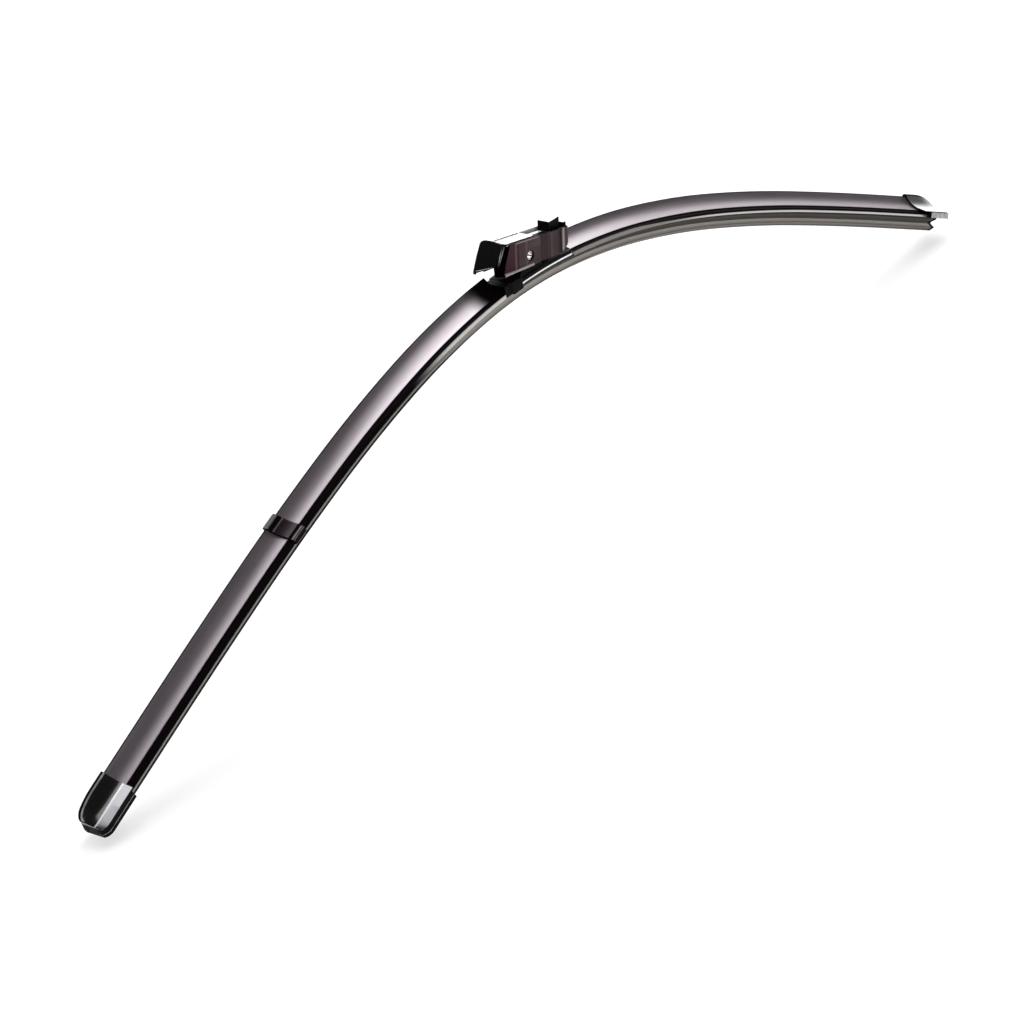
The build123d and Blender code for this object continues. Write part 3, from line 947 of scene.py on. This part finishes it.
def endCap(name, node, end):
    section = (
        end["front"]
        + [cap["brimFold"]]
        + sagged(cap["brimFold"][:2], cap["crest"][0][:2], cap["faceHollow"], steps=14)
        + cap["crest"]
        + sagged(cap["crest"][-1][:2], cap["backFoot"], cap["backHollow"], steps=8)
        + [cap["backFoot"] + (0,)]
        + end["back"]
    )
    bm = straightBar(section, 0.0, cap["length"], cap["ringLength"])
    for step in (-cap["mouthStep"], cap["mouthStep"]):
        scored(bm, (end["skirtFrom"] + step, 0, 0), (1, 0, 0), cap["cutTolerance"])
    bm.normal_update()
    for face in bm.faces:
        face.material_index = capFace(face, end)
    for vert in bm.verts:
        vert.co = capPoint(*vert.co, end)
    bmesh.ops.remove_doubles(bm, verts=bm.verts, dist=cap["weld"])
    bmesh.ops.recalc_face_normals(bm, faces=bm.faces)
    bendToBow(bm)
    settle(bm, name, "blade", end["finishes"], [node], sharpness["hollowBars"])


endCap("leftEndCap", "left_end_cap", leftCap)
endCap("rightEndCap", "right_end_cap", rightCap)
print("end caps shaped")

# spoiler clip: a skewed strap with a hook block on the crest and a stepped front wall
clip = {
    "start": -192.7,
    "end": -184.3,
    "ringLength": 1.0,
    "skew": -0.17,
    "front": [
        (-7.0, -1.6, 0.2),
        (-7.0, 1.2, 0.3),
        (-6.6, 1.7, 0),
        (-5.7, 2.0, 0),
        (-5.3, 2.3, 0),
        (-4.9, 3.0, 0.2),
    ],
    "faceTop": (3.7, 8.5),
    "faceHollow": -0.75,
    "block": [(3.8, 9.0, 0.2), (6.3, 9.2, 0.3), (6.5, 6.4, 0.2)],
    "back": [(6.4, 6.1, 0), (7.0, 1.3, 0.2), (7.0, -1.6, 0.2)],
    "darkBelow": 0.0,
    "blockFrom": (3.6, 6.5),
    "stripes": ((-7.5, -6.8), (-6.5, -5.6), (1.3, 2.3)),
    "strap": (-4.7, 2.3),
}
clipSection = (
    clip["front"]
    + sagged(clip["front"][-1][:2], clip["faceTop"], clip["faceHollow"], steps=14)
    + [clip["faceTop"] + (0,)]
    + clip["block"]
    + clip["back"]
)
clipFinishes = [clipPlastic, clipHighlight, clipShade, clipGrey]
strapFace, stripeFace, darkFace, blockFace = range(len(clipFinishes))


# which finish a face of the clip takes: painted highlights in the stripes, painted shade on the ends, the
# underside and the faces outside the strap
def clipFace(face):
    middle = face.calc_center_median()
    if abs(face.normal.x) > endFacing or middle.z < clip["darkBelow"]:
        return darkFace
    if middle.y > clip["blockFrom"][0] and middle.z > clip["blockFrom"][1]:
        return blockFace
    if any(low < middle.y < high for low, high in clip["stripes"]):
        return stripeFace
    low, high = clip["strap"]
    return strapFace if low <= middle.y <= high else darkFace


strap = straightBar(clipSection, clip["start"], clip["end"], clip["ringLength"])
for face in strap.faces:
    face.material_index = clipFace(face)
for vert in strap.verts:
    vert.co.x += clip["skew"] * (vert.co.y - clip["front"][0][0])
bendToBow(strap)
settle(
    strap, "spoilerClip", "blade", clipFinishes, ["spoiler_clip"], sharpness["hollowBars"]
)
print("clip shaped")

# hood: one bent sheet with rounded corners, its lower edge arched over the spoiler
hood = {
    "half": 8.0,
    "corner": 2.6,
    "bendSteps": 10,
    "bulge": 0.5,
    "across": (-4.9, -4.5, -3.6, -2.4, -1.2, 0.0, 1.2, 2.4, 3.6, 4.6),
    "rows": 14,
    "wall": 1.4,
    "foot": -5.3,
    "footFront": -25.3,
    "rake": 0.2603,
    "hollow": 0.0103,
    "hollowEnd": 2.0,
    "top": 9.6,
    "crown": 0.95,
    "farRound": (4.2, 3.2),
    "nearRound": (1.6, 1.2),
    "lower": [(-8.0, -5.3), (-5.8, -5.3), (-4.5, -0.7), (5.75, -3.7), (6.15, -5.25), (8.0, -5.3)],
    "nearWing": 4.6,
    "farWing": 6.8,
    "flare": 1.5,
    "flareDrop": 15.0,
    "flarePower": 1.3,
    "softRadius": 0.25,
    "softFrom": 50.0,
}


# place of the hood's front along the adapter, at a height on it
def hoodFront(za):
    above = za - hood["foot"]
    return hood["footFront"] + hood["rake"] * above + hood["hollow"] * above * (za - hood["hollowEnd"])


def hoodLower(y):
    for (y0, z0), (y1, z1) in zip(hood["lower"], hood["lower"][1:]):
        if y <= y1:
            return z0 + (z1 - z0) * (y - y0) / (y1 - y0)
    return hood["lower"][-1][1]


def hoodUpper(y):
    level = hood["top"] + hood["crown"] * (1 - (y / hood["half"]) ** 2)
    width, drop = hood["farRound"] if y > 0 else hood["nearRound"]
    past = max(abs(y) - hood["half"] + width, 0) / width
    return level - drop * (1 - math.sqrt(max(1 - past**2, 0)))


# plan of the sheet from the near wing round the front to the far wing: depth behind the front, and y
nearBend = []
for k in range(hood["bendSteps"] + 1):
    bend = math.radians(90 / hood["bendSteps"] * k)
    inward = hood["corner"] * (1 - math.cos(bend))
    nearBend.append((hood["corner"] * (1 - math.sin(bend)), -hood["half"] + inward))
flat = hood["half"] - hood["corner"]
plan = [(hood["nearWing"], -hood["half"])]
plan += nearBend
plan += [(-hood["bulge"] * (1 - (y / flat) ** 2), y) for y in hood["across"]]
plan += [(depth, -y) for depth, y in reversed(nearBend)]
plan += [(hood["farWing"], hood["half"])]
columns = len(plan) - 1
sheet = bmesh.new()
bmesh.ops.create_grid(sheet, x_segments=columns, y_segments=hood["rows"], size=1.0)
for vert in sheet.verts:
    depth, y = plan[round((vert.co.x + 1) / 2 * columns)]
    za = hoodLower(y) + (hoodUpper(y) - hoodLower(y)) * (vert.co.y + 1) / 2
    if depth < hood["farWing"]:
        lowered = max((hood["top"] - za) / hood["flareDrop"], 0)
        depth -= hood["flare"] * max(y / hood["half"], 0) * lowered ** hood["flarePower"]
    vert.co = (adapterAlong * (hoodFront(za) + depth) + adapterUp * za + Vector((0, y, 0))) * mm
sheet.normal_update()
if sum(face.normal.dot(adapterAlong) for face in sheet.faces) > 0:
    bmesh.ops.reverse_faces(sheet, faces=sheet.faces)
shell = settle(
    sheet, "adapterHood", "adapter", [hoodPlastic], ["adapter_hood"], sharpness["hood"]
)
thick = shell.modifiers.new("sheetThickness", "SOLIDIFY")
thick.thickness = hood["wall"] * mm
thick.offset = -1.0
softened = shell.modifiers.new("softEdges", "BEVEL")
softened.limit_method = "ANGLE"
softened.angle_limit = math.radians(hood["softFrom"])
softened.width = hood["softRadius"] * mm
softened.segments = 2

# neck that carries the hood on the adapter's end wall
neck = {"along": -18.6, "up": 4.5, "size": (7.4, 5.6, 4.0), "softness": 0.08}
neckBar = bmesh.new()
bmesh.ops.create_cube(neckBar, size=mm)
bmesh.ops.bevel(
    neckBar,
    geom=neckBar.edges[:],
    affect="EDGES",
    offset=neck["softness"] * mm,
    segments=2,
    profile=0.5,
    material=-1,
)
neckPlace = (adapterAlong * neck["along"] + adapterUp * neck["up"]) * mm
bmesh.ops.scale(neckBar, verts=neckBar.verts, vec=neck["size"])
bmesh.ops.rotate(neckBar, verts=neckBar.verts, matrix=Matrix.Rotation(lean, 3, "Y"))
bmesh.ops.translate(neckBar, verts=neckBar.verts, vec=neckPlace)
settle(neckBar, "hoodNeck", "adapter", [connectorPlastic], [])
print("hood shaped")

# how the CAD solids are softened, in metres and degrees
softening = {"weld": 2e-6, "cutTolerance": 1e-6, "flatWithin": 0.6, "from": 34.0, "segments": 2}
bodyFinish, edgeFinish, deckHighlightFinish, insideShadeFinish = range(4)


# lifts the adapter's far lower corner at its left end
def liftFarCorner(bm, soft):
    acrossFrom, belowHeight, leftOf = soft["farCorner"]
    corner = []
    for vert in bm.verts:
        low = vert.co.dot(adapterUp) < belowHeight * mm
        if low and vert.co.y > acrossFrom * mm and vert.co.dot(adapterAlong) < leftOf * mm:
            corner.append(vert)
    bmesh.ops.translate(bm, verts=corner, vec=adapterUp * soft["farLift"] * mm)


# a moulded piece: the CAD solid with its sharp edges softened, and its faces given their finishes
def moulded(name, node, body, finishes, soft, paint=None):
    bm = bmesh.new()
    bm.from_mesh(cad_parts[node].data)
    bmesh.ops.remove_doubles(bm, verts=bm.verts, dist=softening["weld"])
    flatWithin = math.radians(softening["flatWithin"])
    bmesh.ops.dissolve_limit(bm, angle_limit=flatWithin, verts=bm.verts, edges=bm.edges)
    if "farLift" in soft:
        liftFarCorner(bm, soft)
    for y in soft.get("seams", ()):
        scored(bm, (0, y * mm, 0), (0, 1, 0), softening["cutTolerance"])
    for level in soft.get("levels", ()):
        scored(bm, adapterUp * level * mm, adapterUp, softening["cutTolerance"])
    bm.normal_update()
    for face in bm.faces:
        middle = face.calc_center_median() / mm
        facing = (face.normal.y, face.normal.dot(adapterUp))
        face.material_index = paint(middle.y, middle.dot(adapterUp), *facing) if paint else bodyFinish
    piece = settle(bm, name, body, finishes, [node], sharpness["mouldings"])
    rounded = piece.modifiers.new("roundedEdges", "BEVEL")
    rounded.limit_method = "ANGLE"
    rounded.angle_limit = math.radians(softening["from"])
    rounded.width = soft["radius"] * mm
    rounded.segments = softening["segments"]
    rounded.profile = 0.5
    rounded.use_clamp_overlap = False
    rounded.material = soft.get("edge", edgeFinish)
    rounded.miter_outer = "MITER_ARC"


base = {"radius": 0.22}
baseFinishes = [connectorPlastic, connectorEdge]
moulded("connectorBase", "connector_base", "blade", baseFinishes, base)

bush = {"radius": 0.12}
moulded("pivotBush", "pivot_bush", "blade", [bushSteel, bushSteel], bush)

# the adapter's rounded edges keep their neighbours' finish
adapter = {
    "radius": 0.22,
    "seams": (-4.1, 4.1),
    "levels": (4.0,),
    "edge": -1,
    "farLift": 0.85,
    "farCorner": (5.0, -5.5, -12.0),
    "deckFrom": (-4.2, 8.0),
    "farWallFrom": (3.0, 4.0),
    "outside": 7.05,
    "inside": 5.6,
    "wallInside": 6.2,
    "squarely": 0.9,
    "wallSquarely": 0.99,
}


# painted highlight on the deck, the far wall and the outermost edges, plain walls, and painted shade inside
def paintAdapter(across, height, facingAcross, facingUp):
    if facingUp > adapter["squarely"] and height > adapter["deckFrom"][1]:
        return deckHighlightFinish if across > adapter["deckFrom"][0] else insideShadeFinish
    onFarWall = across > adapter["farWallFrom"][0] and height > adapter["farWallFrom"][1]
    if onFarWall and facingAcross < -adapter["squarely"]:
        return deckHighlightFinish
    if abs(across) > adapter["outside"]:
        return edgeFinish
    crossing = abs(across) < adapter["wallInside"] and abs(facingAcross) < adapter["wallSquarely"]
    return insideShadeFinish if crossing or abs(across) < adapter["inside"] else bodyFinish


adapterFinishes = [adapterPlastic, adapterLedgeHighlight, deckHighlight, adapterInsideShade]
moulded("armAdapter", "adapter", "adapter", adapterFinishes, adapter, paintAdapter)

lever = {"radius": 0.25, "seams": (0.5,), "buttonFrom": 10.0, "tongueFrom": 5.0, "upward": 0.7}


# painted highlight on the top of the button and on the far half of the tongue
def paintLever(across, height, facingAcross, facingUp):
    onTongue = height > lever["tongueFrom"] and across > lever["seams"][0]
    pale = facingUp > lever["upward"] and (height > lever["buttonFrom"] or onTongue)
    return deckHighlightFinish if pale else bodyFinish


leverFinishes = [connectorPlastic, connectorEdge, deckHighlight]
moulded("releaseLever", "release_lever", "lever", leverFinishes, lever, paintLever)
print("moulded pieces softened")

# pale paper floor at the height of the rubber's ends, white to the camera and in reflections
floorLook = {
    "level": -0.1336,
    "half": 30.0,
    "cells": 4,
    "fibreScale": 40.0,
    "dark": (0.4, 0.4, 0.4, 1.0),
    "light": (0.42, 0.42, 0.42, 1.0),
    "rough": 0.9,
    "glow": 0.66,
}
floorMesh = bmesh.new()
cells = floorLook["cells"]
bmesh.ops.create_grid(floorMesh, x_segments=cells, y_segments=cells, size=floorLook["half"])
bmesh.ops.translate(floorMesh, verts=floorMesh.verts, vec=(0, 0, floorLook["level"]))
floorData = bpy.data.meshes.new("studioFloor")
floorMesh.to_mesh(floorData)
floorMesh.free()
floor = bpy.data.objects.new("studioFloor", floorData)
scene.collection.objects.link(floor)
paperValues = {
    "Roughness": floorLook["rough"],
    "Specular IOR Level": 0.0,
    "Emission Strength": floorLook["glow"],
}
paper = Finish("studioPaper", paperValues)
fibre = paper.here().noise(floorLook["fibreScale"])
paper.give(Base_Color=fibre.between(floorLook["dark"], floorLook["light"]))
direct = paper.start.add("ShaderNodeLightPath", {}, {}, "Is Camera Ray")
glossy = paper.start.add("ShaderNodeLightPath", {}, {}, "Is Glossy Ray")
through = paper.start.add("ShaderNodeLightPath", {}, {}, "Is Transmission Ray")
paper.give(Emission_Color=(direct + glossy + through).held().between(black, white))
floorData.materials.append(paper.material)

# room: white to the camera, and a faint fill on the object
fill = 0.03
world = bpy.data.worlds.new("studioRoom")
scene.world = world
world.use_nodes = True
room = world.node_tree.nodes["Background"]
room.inputs["Color"].default_value = white
roomRay = Wire(world.node_tree).add("ShaderNodeLightPath", {}, {}, "Is Camera Ray")
roomRay.feed(room.inputs["Strength"], roomRay * (1 - fill) + fill)

# softboxes: each faces the pivot from away, and is shifted by its place along, across and away
softboxes = {
    "backBox": {
        "away": (0.567, 0.107, 0.817),
        "along": (0.799, 0.17, -0.577),
        "place": (0.3, 0.75, 1.6),
        "size": (4.1, 1.5),
        "glow": 2.0,
    },
    "capBox": {
        "away": (-0.29, 0.26, 0.92),
        "along": (1.0, 0.0, 0.3),
        "place": (0.0, 0.0, 1.6),
        "size": (0.8, 0.9),
        "glow": 1.3,
    },
    "keyBox": {
        "away": (0.574, 0.0, 0.819),
        "along": (0.754, 0.39, -0.528),
        "place": (0.05, 0.34, 1.7),
        "size": (1.8, 1.32),
        "glow": 3.6,
    },
    "frontBox": {
        "away": (-0.25, -0.95, 0.18),
        "along": (1.0, -0.26, 0.0),
        "place": (0.0, 0.0, 2.5),
        "size": (2.4, 0.9),
        "glow": 4.0,
    },
    "leftBox": {
        "away": (-0.8, -0.4, 0.45),
        "along": (0.447, -0.894, 0.0),
        "place": (0.0, 0.0, 2.2),
        "size": (0.35, 0.6),
        "glow": 4.0,
    },
}
for name, box in softboxes.items():
    away = Vector(box["away"]).normalized()
    across = away.cross(Vector(box["along"])).normalized()
    along = across.cross(away)
    lamp = bpy.data.lights.new(name, "AREA")
    lamp.shape = "RECTANGLE"
    lamp.size, lamp.size_y = box["size"]
    lamp.energy = box["glow"] * math.pi * lamp.size * lamp.size_y
    holder = bpy.data.objects.new(name, lamp)
    centre = along * box["place"][0] + across * box["place"][1] + away * box["place"][2]
    holder.matrix_world = Matrix.Translation(centre) @ Matrix((along, across, away)).transposed().to_4x4()
    holder.visible_camera = False
    scene.collection.objects.link(holder)
print("floor and lights set")
